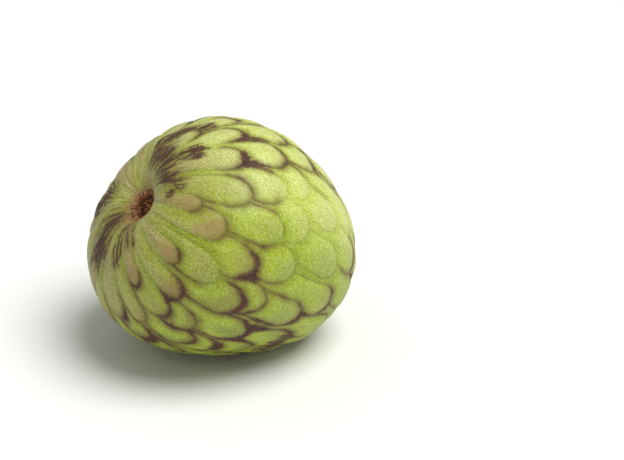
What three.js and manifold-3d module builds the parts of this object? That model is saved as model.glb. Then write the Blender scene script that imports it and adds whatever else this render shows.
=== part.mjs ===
// A whole custard apple (cherimoya), as picked, lying on its side on a small flat spot.
// Units are millimetres, +Z is up, and the origin is the middle of the base, on the surface it rests on.
//
// The fruit has its own frame, which lies tilted in the part's frame: +Z runs out along the stalk,
// and +X points uphill. A place on the skin is given by two angles in degrees. Its polar angle counts
// from the stalk, 0, to the blossom end, 180. Its bearing runs clockwise as seen from the stalk,
// with 0 uphill.
import * as THREE from "three";
import { mergeVertices } from "three/addons/utils/BufferGeometryUtils.js";
import Module from "manifold-3d";

const wasm = await Module();
wasm.setup();

const radians = THREE.MathUtils.degToRad;
const smoothstep = THREE.MathUtils.smoothstep;

// How the fruit lies: the stalk's rise above level, and its compass direction in the XY plane from +X.
const STALK_RISE = 34.7;
const STALK_DIRECTION = -159.3;
const REST_SPOT_DEPTH = 2.6; // how far the underside is pressed flat

// The body is a round one that narrows towards the blossom end, with broad flat shoulders.
const EQUATOR_RADIUS = 50.4;
const TAPER = 0.14;
const SHOULDER_FLATTENING = 0.066;
const OVAL = { share: 0.045, bearing: 59 }; // the equator is a little oval
const LEAN = { share: 0.038, bearing: 165 }; // one shoulder is higher than the other
const CAVITY_DEPTH = 8;
const CAVITY_SPREAD = radians(15);

// Swellings and hollows of the body: bearing, polar angle, spread in degrees, height.
const SWELLINGS = [
  [15, 27, 15, 1.6], // the near shoulder
  [342, 24, 8, 2], // its lip, which folds over the cavity
  [330, 35, 7, 2.4],
  [325, 30, 17, -2.4], // the valley beside it
  [308, 28, 10, -1.2],
  [275, 40, 20, -0.5],
  [82, 14, 11, -3.2], // the low side of the cavity
];

// Scales of the skin: tongues that all point away from the stalk, each lying over the next ones down.
const LAYOUT_RADIUS = 50; // widths and distances on the skin are measured on a ball of this radius
const TONGUE_TIP = 0.75; // the rounded tip's length, as a share of the tongue's width
const RELIEF = 0.8; // how far a scale stands out of the groove around it
const EDGE_ROUNDING = 1.6; // the free edge falls away over about this distance
const ROOT_RAMP = 5; // a scale rises from under the one above over this distance
const BARE_INSET = 6; // where no scale reaches, the skin is as far from an edge as this
const SMOOTH_BELOW = radians(14); // inside the cavity the skin has no scales
const SCALED_BEYOND = radians(42);

// Scales around the near side stand in rows about the stalk. A row has the tips' polar angle, the first tip's
// bearing, the step from tip to tip, how many scales and their width. The tips are uneven within a row.
const NEAR_ROWS = [
  { polar: 53, first: 65, step: 32, count: 3, width: 8 },
  { polar: 69, first: -5, step: 19.5, count: 5, width: 13 },
  { polar: 65, first: 111, step: 30, count: 2, width: 10 },
  { polar: 88, first: -8, step: 18, count: 7, width: 14 },
  { polar: 80, first: 122, step: 30, count: 2, width: 14 },
  { polar: 102, first: 19, step: 19, count: 7, width: 15 },
];
const UNEVEN_TIPS = 3; // degrees

// The rest of the scales follow a spiral of golden-angle turns, smaller towards the blossom end.
const SPIRAL_SCALES = 104;
const SPIRAL_START = radians(50);
const SPIRAL_CROWDING = 0.93; // under 1 crowds the blossom end
const GOLDEN_ANGLE = Math.PI * (3 - Math.sqrt(5));
const SPIRAL_WIDTHS = [14, 13]; // at the start and at the blossom end
const CLEAR_OF_NEAR = 11; // no spiral scale's tip is closer than this to a near scale's tip

// The woody end of the stalk: a torn, hollow cup, seated in a socket at the bottom of the cavity.
const STUB_RADIUS = 7.4;
const STUB_WALL = 2;
const STUB_HEIGHT = 5.5;
const STUB_HOLLOW = 3.8;
const STUB_BEVEL = { width: 0.5, height: 1 }; // at the foot and the outside of the rim
const STUB_RIM_FALL = 0.4; // the rim falls by this much from its outside to its inside
const STUB_HOLLOW_TAPER = 0.6; // the hollow is narrower at its floor by this much
const STUB_TEAR = 0.7; // how unevenly the rim is torn
const TEAR_WAVES = { coarse: 5, fine: 11 }; // round the rim
const STUB_SLANT = 2; // how far the rim falls from its middle to its low side
const STUB_LOW_SIDE = 79; // bearing
const STUB_SHIFT = { distance: 2.5, bearing: 105 }; // from the fruit's axis
const STUB_SIDES = 28;
const SEAT_DEPTH = 3.5; // how deep the stub sits below the cavity's floor
const SEAT_GAP = 0.3;
const SOCKET_SIDES = 32;

const BODY_SIDES = 96;
const BODY_RINGS = 52;

const SKIN = new THREE.MeshStandardMaterial({ color: "#a9b95c", roughness: 0.55, metalness: 0 });
const WOOD = new THREE.MeshStandardMaterial({ color: "#7d5130", roughness: 0.85, metalness: 0 });

// The unit vector from the fruit's middle to a place on the skin.
function directionTo(bearing, polar) {
  const around = radians(bearing);
  const down = radians(polar);
  const reach = Math.sin(down);
  return new THREE.Vector3(reach * Math.cos(around), -reach * Math.sin(around), Math.cos(down));
}

// A scale is held as three directions: its tip, the way that it points, and across it.
function makeScale(bearing, polar, width) {
  const tip = directionTo(bearing, polar);
  const pointing = directionTo(bearing, polar + 90);
  return { tip, pointing, across: new THREE.Vector3().crossVectors(tip, pointing), polar, width };
}

function makeSpiralScales() {
  const scales = [];
  for (let n = 0; n < SPIRAL_SCALES; n++) {
    const share = (n + 0.5) / SPIRAL_SCALES;
    const height = Math.cos(SPIRAL_START) - (1 + Math.cos(SPIRAL_START)) * share ** SPIRAL_CROWDING;
    const polar = THREE.MathUtils.radToDeg(Math.acos(height));
    const bearing = THREE.MathUtils.radToDeg(n * GOLDEN_ANGLE);
    scales.push(makeScale(bearing, polar, THREE.MathUtils.lerp(...SPIRAL_WIDTHS, share)));
  }
  return scales;
}

// The near rows' scales, row by row. Each tip is a little off its row, by the sine of an angle that grows by
// the golden angle from scale to scale.
function makeNearScales() {
  const scales = [];
  for (const { polar, first, step, count, width } of NEAR_ROWS) {
    for (let i = 0; i < count; i++) {
      const uneven = UNEVEN_TIPS * Math.sin(scales.length * GOLDEN_ANGLE);
      scales.push(makeScale(first + i * step, polar + uneven, width));
    }
  }
  return scales;
}

// All the scales, the ones nearest the stalk first, because they lie on top.
function makeScales() {
  const near = makeNearScales();
  const clear = (scale) =>
    near.every((other) => scale.tip.angleTo(other.tip) * LAYOUT_RADIUS > CLEAR_OF_NEAR);
  return [...near, ...makeSpiralScales().filter(clear)].sort((a, b) => a.polar - b.polar);
}

const SCALES = makeScales();

// How far inside a scale's outline a direction lies, negative outside. The outline is a strip with a
// half-ellipse for its tip, and the strip narrows towards the stalk as the meridians do.
function inset(direction, scale) {
  const beyondStalk = direction.x * scale.tip.x + direction.y * scale.tip.y <= 0;
  if (beyondStalk) return -LAYOUT_RADIUS;
  const back = -LAYOUT_RADIUS * Math.atan2(direction.dot(scale.pointing), direction.dot(scale.tip));
  const across = LAYOUT_RADIUS * direction.dot(scale.across);
  const away = Math.hypot(direction.x, direction.y);
  const narrowing = Math.min(1, away / Math.hypot(scale.tip.x, scale.tip.y));
  const halfWidth = Math.max(0.5, (scale.width / 2) * narrowing);
  const tipLength = TONGUE_TIP * scale.width;
  const pastShoulder = Math.max(0, tipLength - back) / tipLength;
  return halfWidth * (1 - Math.hypot(across / halfWidth, pastShoulder));
}

// The scales' height above their grooves. The first scale that holds the direction is the one on top there.
function relief(direction) {
  let fromAbove = LAYOUT_RADIUS;
  let own = BARE_INSET;
  for (const scale of SCALES) {
    const depth = inset(direction, scale);
    if (depth > 0) {
      own = depth;
      break;
    }
    fromAbove = Math.min(fromAbove, -depth);
  }
  const edge = 1 - Math.exp(-own / EDGE_ROUNDING);
  const root = smoothstep(fromAbove, 0, ROOT_RAMP);
  const polar = Math.acos(direction.z);
  return RELIEF * edge * root * smoothstep(polar, SMOOTH_BELOW, SCALED_BEYOND);
}

// The skin's distance from the fruit's middle, in one direction.
function skinDistance(direction) {
  const polar = Math.acos(THREE.MathUtils.clamp(direction.z, -1, 1));
  const bearing = Math.atan2(-direction.y, direction.x);
  let distance = EQUATOR_RADIUS * (1 - TAPER * Math.cos(polar) - SHOULDER_FLATTENING * Math.cos(3 * polar));
  distance *=
    1 +
    OVAL.share * Math.sin(polar) ** 2 * Math.cos(2 * (bearing - radians(OVAL.bearing))) +
    LEAN.share * Math.sin(2 * polar) * Math.cos(bearing - radians(LEAN.bearing));
  distance -= CAVITY_DEPTH * Math.exp(-((polar / CAVITY_SPREAD) ** 2));
  for (const [swellBearing, swellPolar, spread, height] of SWELLINGS) {
    const away = direction.angleTo(directionTo(swellBearing, swellPolar)) / radians(spread);
    distance += height * Math.exp(-away * away);
  }
  return distance + relief(direction);
}

// A closed three.js geometry as a manifold-3d solid.
function solidOf(geometry) {
  const bare = geometry.clone();
  bare.deleteAttribute("normal");
  bare.deleteAttribute("uv");
  const merged = mergeVertices(bare, 1e-4);
  const vertProperties = new Float32Array(merged.attributes.position.array);
  const triVerts = new Uint32Array(merged.index.array);
  return new wasm.Manifold(new wasm.Mesh({ numProp: 3, vertProperties, triVerts }));
}

// A manifold-3d solid as a three.js geometry.
function geometryOf(solid) {
  const mesh = solid.getMesh();
  const geometry = new THREE.BufferGeometry();
  geometry.setAttribute("position", new THREE.BufferAttribute(mesh.vertProperties, 3));
  geometry.setIndex(new THREE.BufferAttribute(mesh.triVerts, 1));
  geometry.computeVertexNormals();
  return geometry;
}

// The turn from the fruit's frame to the part's: +Z goes along the stalk and +X uphill.
function restingTurn() {
  const rise = radians(STALK_RISE);
  const direction = radians(STALK_DIRECTION);
  const level = Math.cos(rise);
  const stalk = new THREE.Vector3(
    level * Math.cos(direction),
    level * Math.sin(direction),
    Math.sin(rise),
  );
  const uphill = new THREE.Vector3(0, 0, 1).addScaledVector(stalk, -stalk.z).normalize();
  const side = new THREE.Vector3().crossVectors(stalk, uphill);
  return new THREE.Quaternion().setFromRotationMatrix(
    new THREE.Matrix4().makeBasis(uphill, side, stalk),
  );
}

// A ball whose every point is moved to the skin, and then pressed flat underneath.
function makeBody(turn) {
  const body = new THREE.SphereGeometry(1, BODY_SIDES, BODY_RINGS).rotateX(Math.PI / 2);
  const points = body.attributes.position;
  const down = new THREE.Vector3(0, 0, -1).applyQuaternion(turn.clone().invert());
  const point = new THREE.Vector3();
  let lowest = 0;
  for (let i = 0; i < points.count; i++) {
    point.fromBufferAttribute(points, i).normalize();
    point.multiplyScalar(skinDistance(point));
    points.setXYZ(i, point.x, point.y, point.z);
    lowest = Math.max(lowest, point.dot(down));
  }
  const restLevel = lowest - REST_SPOT_DEPTH;
  for (let i = 0; i < points.count; i++) {
    point.fromBufferAttribute(points, i);
    point.addScaledVector(down, Math.min(0, restLevel - point.dot(down)));
    points.setXYZ(i, point.x, point.y, point.z);
  }
  return body;
}

// Where the stub stands: the height of its foot along the stalk, and its place across it.
const FLOOR_HEIGHT = skinDistance(new THREE.Vector3(0, 0, 1));
const STUB_FOOT = FLOOR_HEIGHT - SEAT_DEPTH;
const STUB_MIDDLE = directionTo(STUB_SHIFT.bearing, 90).multiplyScalar(STUB_SHIFT.distance);

// The socket for the stub, which opens into the cavity.
function makeSocket() {
  const depth = SEAT_DEPTH + STUB_HEIGHT;
  const radius = STUB_RADIUS + SEAT_GAP;
  const socket = new THREE.CylinderGeometry(radius, radius, depth, SOCKET_SIDES);
  const middle = STUB_FOOT - SEAT_GAP + depth / 2;
  return socket.rotateX(Math.PI / 2).translate(STUB_MIDDLE.x, STUB_MIDDLE.y, middle);
}

// A cup turned about its own axis, whose rim is then slanted and torn uneven.
function makeStub() {
  const inside = STUB_RADIUS - STUB_WALL;
  const profile = [
    [0, 0],
    [STUB_RADIUS - STUB_BEVEL.width, 0],
    [STUB_RADIUS, STUB_BEVEL.height],
    [STUB_RADIUS, STUB_HEIGHT - STUB_BEVEL.height],
    [STUB_RADIUS - STUB_BEVEL.width, STUB_HEIGHT],
    [inside, STUB_HEIGHT - STUB_RIM_FALL],
    [inside - STUB_HOLLOW_TAPER, STUB_HEIGHT - STUB_HOLLOW],
    [0, STUB_HEIGHT - STUB_HOLLOW],
  ].map(([radius, height]) => new THREE.Vector2(radius, height));
  const stub = new THREE.LatheGeometry(profile, STUB_SIDES).rotateX(Math.PI / 2);
  const lowSide = directionTo(STUB_LOW_SIDE, 90);
  const points = stub.attributes.position;
  for (let i = 0; i < points.count; i++) {
    const around = Math.atan2(points.getY(i), points.getX(i));
    const coarse = Math.sin(TEAR_WAVES.coarse * around);
    const fine = Math.sin(TEAR_WAVES.fine * around + 1);
    const torn = 0.6 * coarse + 0.4 * fine;
    const nearRim = smoothstep(points.getZ(i), SEAT_DEPTH, STUB_HEIGHT - STUB_RIM_FALL);
    const towardsLow = (points.getX(i) * lowSide.x + points.getY(i) * lowSide.y) / STUB_RADIUS;
    const share = points.getZ(i) / STUB_HEIGHT;
    points.setZ(i, points.getZ(i) + STUB_TEAR * torn * nearRim - STUB_SLANT * towardsLow * share);
  }
  return stub.translate(STUB_MIDDLE.x, STUB_MIDDLE.y, STUB_FOOT);
}

function namedMesh(name, geometry, material) {
  const mesh = new THREE.Mesh(geometry, material);
  mesh.name = name;
  return mesh;
}

const turn = restingTurn();
const body = geometryOf(solidOf(makeBody(turn)).subtract(solidOf(makeSocket())));

const fruit = new THREE.Group();
fruit.quaternion.copy(turn);
fruit.add(namedMesh("fruit", body, SKIN));
fruit.add(namedMesh("stalk_stub", makeStub(), WOOD));

// The middle of the base goes to the origin.
fruit.updateMatrixWorld(true);
const box = new THREE.Box3().setFromObject(fruit, true);
fruit.position.set(-(box.min.x + box.max.x) / 2, -(box.min.y + box.max.y) / 2, -box.min.z);

const custardApple = new THREE.Group();
custardApple.add(fruit);

export default custardApple;
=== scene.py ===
"""The looks of a whole custard apple that lies on its side: its scaled skin, and the torn end of its stalk.

The fruit has its own frame, in millimetres about the fruit's middle: +Z runs out along the stalk, and +X
points uphill. A place on the skin is a bearing and a polar angle. The polar angle counts from the stalk, 0,
to the blossom end. The bearing runs clockwise as seen from the stalk, with 0 uphill and 90 on the viewer's
side. Everything is then turned, sized and set down to fill the box of the CAD fruit.
"""

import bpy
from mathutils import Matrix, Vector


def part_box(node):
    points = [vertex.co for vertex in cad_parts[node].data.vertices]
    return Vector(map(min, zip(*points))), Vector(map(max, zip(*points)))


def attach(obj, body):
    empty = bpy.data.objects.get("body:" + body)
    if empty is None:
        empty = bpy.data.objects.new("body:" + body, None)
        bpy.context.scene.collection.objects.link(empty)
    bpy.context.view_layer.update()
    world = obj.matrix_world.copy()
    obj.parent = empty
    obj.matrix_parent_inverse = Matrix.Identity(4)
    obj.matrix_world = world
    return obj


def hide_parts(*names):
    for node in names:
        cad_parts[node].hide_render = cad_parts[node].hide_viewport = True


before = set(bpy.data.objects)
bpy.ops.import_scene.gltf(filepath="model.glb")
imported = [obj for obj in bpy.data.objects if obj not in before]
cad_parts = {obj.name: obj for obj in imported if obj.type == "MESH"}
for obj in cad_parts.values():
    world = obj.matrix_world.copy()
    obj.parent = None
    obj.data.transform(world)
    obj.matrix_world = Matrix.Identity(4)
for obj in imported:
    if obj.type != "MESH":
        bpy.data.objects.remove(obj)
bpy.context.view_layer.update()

import math
from functools import partial
from math import pi, radians

import bpy
import numpy as np
from mathutils import Matrix, Vector

bl_info = {
    "name": "Custard apple",
    "version": (1, 0, 0),
    "blender": (4, 5, 0),
    "location": "3D View > Sidebar > Custard apple",
    "description": "Makes the skin and the stalk end of a custard apple, and a plain studio around it",
    "category": "Object",
}

MM = 0.001

# How the fruit lies: the stalk's rise above level, and its compass direction from +X.
STALK_RISE = radians(34.7)
STALK_DIRECTION = radians(-159.3)

# The body, in mm. The whole is then sized to the frame.
EQUATOR_RADIUS = 50.4
OVAL = (0.045, 59)  # share of the radius, bearing in degrees
LEAN = (0.038, 165)
CAVITY_SPREAD = radians(15)
SWELLINGS = [  # bearing, polar angle and spread in degrees, height
    (15, 27, 15, 1.6),  # the near shoulder
    (342, 24, 8, 2.0),  # its lip, which folds over the cavity
    (330, 35, 7, 2.4),
    (325, 30, 17, -2.4),  # the valley beside it
    (308, 28, 10, -1.2),
    (275, 40, 20, -0.5),
    (82, 14, 11, -3.2),  # the low side of the cavity
]
UNEVENNESS = [(0.16, 14, 23), (0.06, 4, 24)]  # height and wavelength in mm, and seed

# The end of the stalk stands in a socket, a little off the fruit's axis, and its rim slants.
SEAT_DEPTH = 3.5  # how far its foot is below the cavity's floor
STUB_SHIFT = (2.5, radians(105))  # distance, bearing
STUB_LOW_SIDE = radians(79)
SOCKET_DEPTH = 6.0
SOCKET_WALL = (-0.5, 0.1)  # the skin drops into the socket between these distances from the stub's wall
STALK_END = radians(45)  # the socket and the tan around it are within this polar angle
GATHERED = 0.6  # within about this many radians of the stalk, the skin's rings shift to run round the stub

# Fine ribs run out from the cavity. Their noise is read on a cylinder about the stalk.
RIBS_BEGIN = (radians(8), radians(16))  # they fade in between these polar angles
RIBS_END = (radians(24), radians(48))  # and out between these
RIB_HEIGHT = 0.2
RIB_CYLINDER = 10
RIBS = [(1.0, 4, 2.2, 21), (0.6, 3, 1.0, 22)]  # share, rise for each radian, wavelength and seed

# The scales are laid out on a ball of this radius. Noise over a ball of radius 1 makes their edges wander.
LAYOUT_RADIUS = 50.0
WANDER = [(1.0, 0.28, (11, 12, 13)), (0.5, 0.1, (14, 15, 16))]  # share, wavelength and seeds
TONGUE_TIP = 0.75  # length of a scale's rounded tip, as a share of its width
NARROWEST = 0.5  # a scale is at least twice as wide as this, however near the stalk
CLEAR_OF_NEAR = 11.0  # the spiral's tips are at least this far from those of the near rows
SPIRAL_START = radians(50)
SPIRAL_CROWDING = 0.93
SPIRAL_WIDTHS = (14.0, 13.0)
SPIRAL_RUSSET = (0.6, 0.45)  # the share of scales that have any, and the least that these have
SPIRAL_BLUSH = (0.3, 0.8)  # the share of scales on the stalk's half that have it, and how strong it is
SPIRAL_SEED = 8
TONE_SEED = 5
GOLDEN_ANGLE = pi * (3 - math.sqrt(5))

# How a scale rises from its groove, in mm.
SCALED_FROM = (radians(14), radians(42))  # the relief fades in between these polar angles
EDGE_ROUNDING = 1.6
ROOT_RAMP = 5.0
CUSHION = 0.06  # a scale's swell towards its middle, as a share of the relief
BARE_DEPTH = 6.0  # where no scale reaches, the skin is as far from an edge as this

# Where the skin's colours are, by a distance in mm or by polar angle.
LIME_ON_TOP = (0.5, 1.5)  # strength and width of the lime along a scale's own edge
LIME_BELOW = (0.3, 4.2)  # the lime fades out between these distances from the scale above
EXPOSED = (0.5, 10)  # the fresh green fades out between these
RIM_TAN = (0.2, 5.5)  # the tan fades out between these distances from the stub's wall
SAGE_ZONE = (radians(45), radians(80))  # the sage fades out between these
LINED_FROM = (radians(26), radians(48))  # the lime and the olive line fade in between these
STREAKED_TO = (radians(24), radians(55))  # the streaks fade between these

# The skin's patterns: size in mm, detail and roughness. Real pores and hairs are too fine to show, so the
# grain that stands for them is coarser.
GRAIN = (0.6, 1.0, 0.5)
MOTTLE = (3.5, 3.0, 0.6)
CLOUDS = (16, 2.0, 0.6)
CRUMBS = (1.8, 4.0, 0.65)
STREAKS = 15.0  # for each radian round the stalk
STREAK_STRETCH = 0.3

# Scales around the near side stand in rows about the stalk: the tips' polar angle, the first tip's bearing
# and the step from tip to tip in degrees, the width, and then each scale's russet and blush.
NEAR_ROWS = [
    (53, 65, 32, 8, (0.5, 0.5, 0.7), (0.7, 1.0, 1.0)),
    (69, -5, 19.5, 13, (0.8, 0.7, 0.9, 0.8, 0.3), (0, 0, 0, 0, 0.9)),
    (65, 111, 30, 10, (1.1, 1.3), (0.9, 0.4)),
    (88, -8, 18, 14, (0.4, 0.5, 0.5, 0.1, 0, 0.8, 0.8), (0, 0, 0, 0, 0, 0.4, 0.3)),
    (80, 122, 30, 14, (1.5, 1.1), (0, 0)),
    (102, 19, 19, 15, (0.8, 0, 0, 0, 0.6, 1.4, 1.4), (0, 0, 0, 0, 0, 0, 0)),
]
UNEVEN_TIPS = radians(3)  # how far a tip is off its row
# Painted light and shade: the rind is painted paler on the side that faces this way, where the key light
# falls, and deeper green on the side away from it.
KEY_LIT_SIDE = (radians(-5), radians(95))  # bearing and polar angle of the palest skin
TIP_RUSSET = (0.8, 0.0)  # a mark's spread as a share of the scale's width, and how far up from the tip it is
TIP_BLUSH = (0.4, radians(6))

# Russet that isn't bound to a groove, as strokes drawn out over the skin: the bearing and polar angle of
# both ends in degrees, the spread in mm, and the strength. The first five are the blot on the near shoulder.
RUSSET_STROKES = [
    (330, 30, 345, 45, 6, 1.0),
    (345, 30, 20, 30, 8, 1.0),
    (20, 30, 25, 45, 5, 0.9),
    (345, 45, 0, 55, 4, 0.9),
    (25, 25, 50, 35, 6, 0.9),
    (195, 20, 180, 35, 8, 1.0),  # on the lobe at the left
    (235, 35, 250, 30, 7, 1.0),
    (145, 20, 145, 35, 4, 0.8),
    (125, 20, 125, 30, 4, 0.7),
    (60, 35, 60, 35, 3, 1.2),  # a small round spot
    (335, 55, 335, 65, 3, 0.8),
    (115, 130, 130, 130, 6, 1.0),  # underneath
]
# More of the same on the far side, drawn at random.
BACK_STROKES = 14
BACK_SEED = 9
BACK_SPANS = [  # the least and the most of each value of a stroke
    (190, 330),  # bearing
    (30, 140),  # polar angle
    (-8, 8),  # how far the bearing turns to the other end
    (0, 14),  # how far the other end is further from the stalk
    (2, 5),  # spread
    (0.7, 1.0),  # strength
]

# The grid of the skin. Its rings crowd towards the stalk.
SKIN_SIDES = 440
SKIN_RINGS = 226
RING_CROWDING = 0.35
PRESSED_EDGE = 0.0012  # metres over which the flat underside rounds off

# The stub. Its noise is read on a cylinder about the stalk, and is drawn out along it. Lengths are in mm.
STUB_SIDES = 160
STUB_RINGS = 90
STUB_CENTRE = 0.2  # radius of the profile's first and last ring
WOOD_CYLINDER = 6
WOOD_STRETCH = 0.25
WOOD_RIDGES = [(1.0, 0.9, 31), (0.7, 0.45, 32)]  # share, wavelength and seed
TEARS = [(0.8, 4.5, 33), (0.5, 1.3, 34)]
RIDGE_HEIGHT = 0.08
TORN_REACH = 0.25  # how far the tears move the rim in and out
FLAP_BEARING = radians(165)  # where the stub's rim stands out in a flap
FLAP_SPREAD = 0.95  # radians
FLAP_REACH = 1.0
FLAP_RISE = 0.4
WOOD_FIBRES = 2.6  # streaks for each unit round the cylinder, which makes about 2 for each mm

# Torn fibres. Lengths are in mm, and a pair is the least and the most.
FIBRE_RINGS = 7
FIBRE_SIDES = 5
FIBRES_AT_RIM = 0.25  # share that stands on the rim
RIM_FOOT = 1.4  # depth of its foot below the rim
RIM_REACH, RIM_RISE = (1.5, 5.0), (0.6, 1.9)
RIM_BAND = 0.7  # its foot is within this share of the wall's thickness
RIM_SCATTER = 1.1  # how far off straight across it typically points, in radians
FLOOR_FOOT = 0.3  # the other fibres' feet are this far below the hollow's floor
FLOOR_SPAN = (0.02, 0.95)  # shares of the floor's area within which they stand
FLOOR_REACH, FLOOR_RISE = (1.5, 6.0), (0.8, 0.6)  # the second rise is added to the hollow's depth
FIBRE_BEND = 0.5
FIBRE_HALF_WIDTHS = (0.25, 0.7)
FIBRE_THINNING = 0.7  # share of its width that a fibre loses towards its tip
FIBRE_FLATNESS = 0.5  # thickness as a share of the width
FIBRE_SEED = 41

# The studio, in metres.
FLOOR_RADIUS = 6.0
FLOOR_SIDES = 64
FLOOR_DROP = 0.0002  # keeps the floor clear of the fruit's flat underside
KEY_DIRECTION = (0.42, -0.2, 1.0)
KEY_SPREAD = radians(40)
SENSOR_WIDTH = 36  # mm

# Settings that many shader nodes share.
SMOOTH = {"interpolation_type": "SMOOTHSTEP"}
COLOURED = {"data_type": "RGBA"}
TIMES = {"operation": "MULTIPLY"}
TIMES_PLUS = {"operation": "MULTIPLY_ADD"}


def hex_colour(code):
    """An sRGB hex colour, such as "#7f9a2c", as linear red, green and blue."""
    channels = np.array([int(code[i : i + 2], 16) for i in (1, 3, 5)]) / 255
    linear = np.where(channels <= 0.04045, channels / 12.92, ((channels + 0.055) / 1.055) ** 2.4)
    return tuple(float(c) for c in linear)


def smoothstep(low, high, x):
    """0 below low, 1 above high, and 3t^2 - 2t^3 between them."""
    t = np.clip((x - low) / (high - low), 0, 1)
    return t * t * (3 - 2 * t)


def unit(vectors):
    """The same vectors, each of length 1."""
    return vectors / np.maximum(np.linalg.norm(vectors, axis=-1, keepdims=True), 1e-9)


def rays(bearing, polar):
    """Unit vectors at a bearing b and polar angle p in radians: (sin p cos b, -sin p sin b, cos p)."""
    reach = np.sin(polar)
    height = np.cos(polar) + 0 * bearing
    return np.stack([reach * np.cos(bearing), -reach * np.sin(bearing), height], axis=-1)


def ripples(points, wavelength, seed, waves=14):
    """Smooth noise, mostly from -1 to 1: twice the mean of sine waves of one wavelength, in directions drawn
    at random."""
    rng = np.random.default_rng(seed)
    directions = rng.normal(size=(3, waves))
    directions *= 2 * pi / wavelength / np.linalg.norm(directions, axis=0)
    phases = rng.uniform(0, 2 * pi, waves)
    return np.sin(points @ directions + phases).mean(axis=-1) * 2


def ripples_of(points, waves):
    """The sum of several ripples, each with its share or height, its wavelength and its seed."""
    return sum(share * ripples(points, wavelength, seed) for share, wavelength, seed in waves)


def strokes(skin_rays, marks):
    """The strongest of several marks: strength * exp(-(d / spread)^2), where d is the distance from the
    chord between a mark's ends."""
    total = np.zeros(skin_rays.shape[:-1])
    for bearing, polar, end_bearing, end_polar, spread, strength in marks:
        start = rays(radians(bearing), radians(polar))
        chord = rays(radians(end_bearing), radians(end_polar)) - start
        along = np.clip((skin_rays - start) @ chord / max(chord @ chord, 1e-9), 0, 1)
        away = np.linalg.norm(skin_rays - start - along[..., None] * chord, axis=-1) * LAYOUT_RADIUS / spread
        total = np.maximum(total, strength * np.exp(-away * away))
    return total


def tip_marks(skin_rays, scales, strengths, spread, above_tip):
    """A round mark at or above each scale's tip, of its own strength and as wide as the scale calls for."""
    total = np.zeros(skin_rays.shape[:-1])
    for (bearing, polar, width), strength in zip(scales, strengths):
        if strength > 0:
            centre = rays(bearing, polar - above_tip)
            away = np.arccos(np.clip(skin_rays @ centre, -1, 1)) * LAYOUT_RADIUS / (spread * width)
            total = np.maximum(total, strength * np.exp(-away * away))
    return total


def far_side_strokes():
    """Strokes like the near side's, but on the far side and drawn at random. They run out from the stalk."""
    rng = np.random.default_rng(BACK_SEED)
    drawn = (rng.uniform(*span, BACK_STROKES) for span in BACK_SPANS)
    bearing, polar, turn, length, spread, strength = drawn
    return list(np.stack([bearing, polar, bearing + turn, polar + length, spread, strength], axis=-1))


def near_scales():
    """The near rows' scales: tip bearing, tip polar angle, width, russet and blush."""
    scales = []
    for polar, first, step, width, russets, blushes in NEAR_ROWS:
        for i, (russet, blush) in enumerate(zip(russets, blushes)):
            bearing = radians(first + i * step)
            uneven = UNEVEN_TIPS * math.sin(len(scales) * GOLDEN_ANGLE)
            scales.append((bearing, radians(polar) + uneven, width, russet, blush))
    return np.array(scales)


def make_scales(count):
    """Tip bearing, tip polar angle, width, russet and blush of all scales, the ones nearest the stalk first.

    Scale n of the spiral is at bearing n times the golden angle, and the cosine of its polar angle falls
    from the spiral's start to -1 as the share n / count to a power, so that the scales cover the ball almost
    evenly. Its russet is drawn at random, and its blush too, which is on the stalk's half only.
    """
    near = near_scales()
    n = np.arange(count)
    share = (n + 0.5) / count
    start = math.cos(SPIRAL_START)
    polar = np.arccos(start - (1 + start) * share**SPIRAL_CROWDING)
    widths = SPIRAL_WIDTHS[0] + (SPIRAL_WIDTHS[1] - SPIRAL_WIDTHS[0]) * share
    chance, strength, rosy = np.random.default_rng(SPIRAL_SEED).uniform(size=(3, count))
    with_russet, least = SPIRAL_RUSSET
    russet = np.where(chance < with_russet, least + (1 - least) * strength, 0)
    with_blush, most = SPIRAL_BLUSH
    blush = np.where((rosy < with_blush) & (polar < pi / 2), most, 0)
    spiral = np.stack([n * GOLDEN_ANGLE, polar, widths, russet, blush], axis=-1)
    between = rays(spiral[:, 0], spiral[:, 1]) @ rays(near[:, 0], near[:, 1]).T
    clear = np.arccos(np.clip(between, -1, 1)).min(axis=1) * LAYOUT_RADIUS > CLEAR_OF_NEAR
    scales = np.concatenate([near, spiral[clear]])
    return scales[np.argsort(scales[:, 1], kind="stable")]


def lay_scales(skin_rays, scales):
    """Which scale lies on top at each ray, and how far its edges are, in mm on the layout ball.

    A scale is a tongue. With y the distance back from its tip and x the distance across, its outline is
    hypot(x / a, max(0, c - y) / c) = 1, where a is half its width and c the length of its rounded tip. The
    width narrows towards the stalk as the meridians do. A ray's depth in it is a times 1 less that hypot.
    The first scale that holds the ray is on top. Returns its depth there, the distance to the nearest scale
    above it, and its number.
    """
    shape = skin_rays.shape[:-1]
    own = np.full(shape, BARE_DEPTH)
    above = np.full(shape, LAYOUT_RADIUS)
    number = np.zeros(shape, int)
    bare = np.ones(shape, bool)
    away = np.hypot(skin_rays[..., 0], skin_rays[..., 1])
    for i, (bearing, polar, width) in enumerate(scales[:, :3]):
        tip = rays(bearing, polar)
        pointing = rays(bearing, polar + pi / 2)
        y = -LAYOUT_RADIUS * np.arctan2(skin_rays @ pointing, skin_rays @ tip)
        x = LAYOUT_RADIUS * (skin_rays @ np.cross(tip, pointing))
        half = np.maximum(NARROWEST, width / 2 * np.minimum(1, away / math.sin(polar)))
        cap = TONGUE_TIP * width
        depth = half * (1 - np.hypot(x / half, np.maximum(0, cap - y) / cap))
        depth[skin_rays[..., :2] @ tip[:2] <= 0] = -LAYOUT_RADIUS
        held = bare & (depth > 0)
        own[held] = depth[held]
        number[held] = i
        bare &= ~held
        above[bare] = np.minimum(above[bare], -depth[bare])
    return own, above, number


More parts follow.
